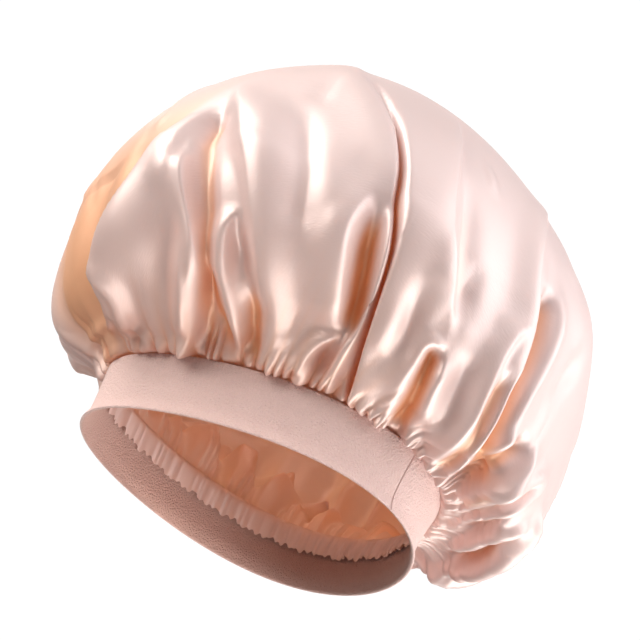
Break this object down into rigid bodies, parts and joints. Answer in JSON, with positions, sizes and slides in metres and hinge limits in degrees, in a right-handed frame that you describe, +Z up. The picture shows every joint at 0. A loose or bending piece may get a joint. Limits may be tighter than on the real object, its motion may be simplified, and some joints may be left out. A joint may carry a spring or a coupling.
{
  "type": "sleep bonnet",
  "caption": "Puffed satin sleep bonnet: a gathered round crown, hollow and open below, on a wide oval band of knitted elastic.",
  "frame": {"origin": "centre of the band's lower rim, where the head goes in", "axes": "+Z up through the crown along the band's axis, -Y the front, over the forehead, +X the side that the picture shows"},
  "size_m": [0.3116, 0.3078, 0.2549],
  "materials": {
    "satin": "glossy peach satin, gathered",
    "knit_elastic": "matte dusty pink knitted elastic, fine ribbed"
  },
  "bodies": {
    "root": {"crown": "satin", "band": "knit_elastic"}
  },
  "joints": []
}
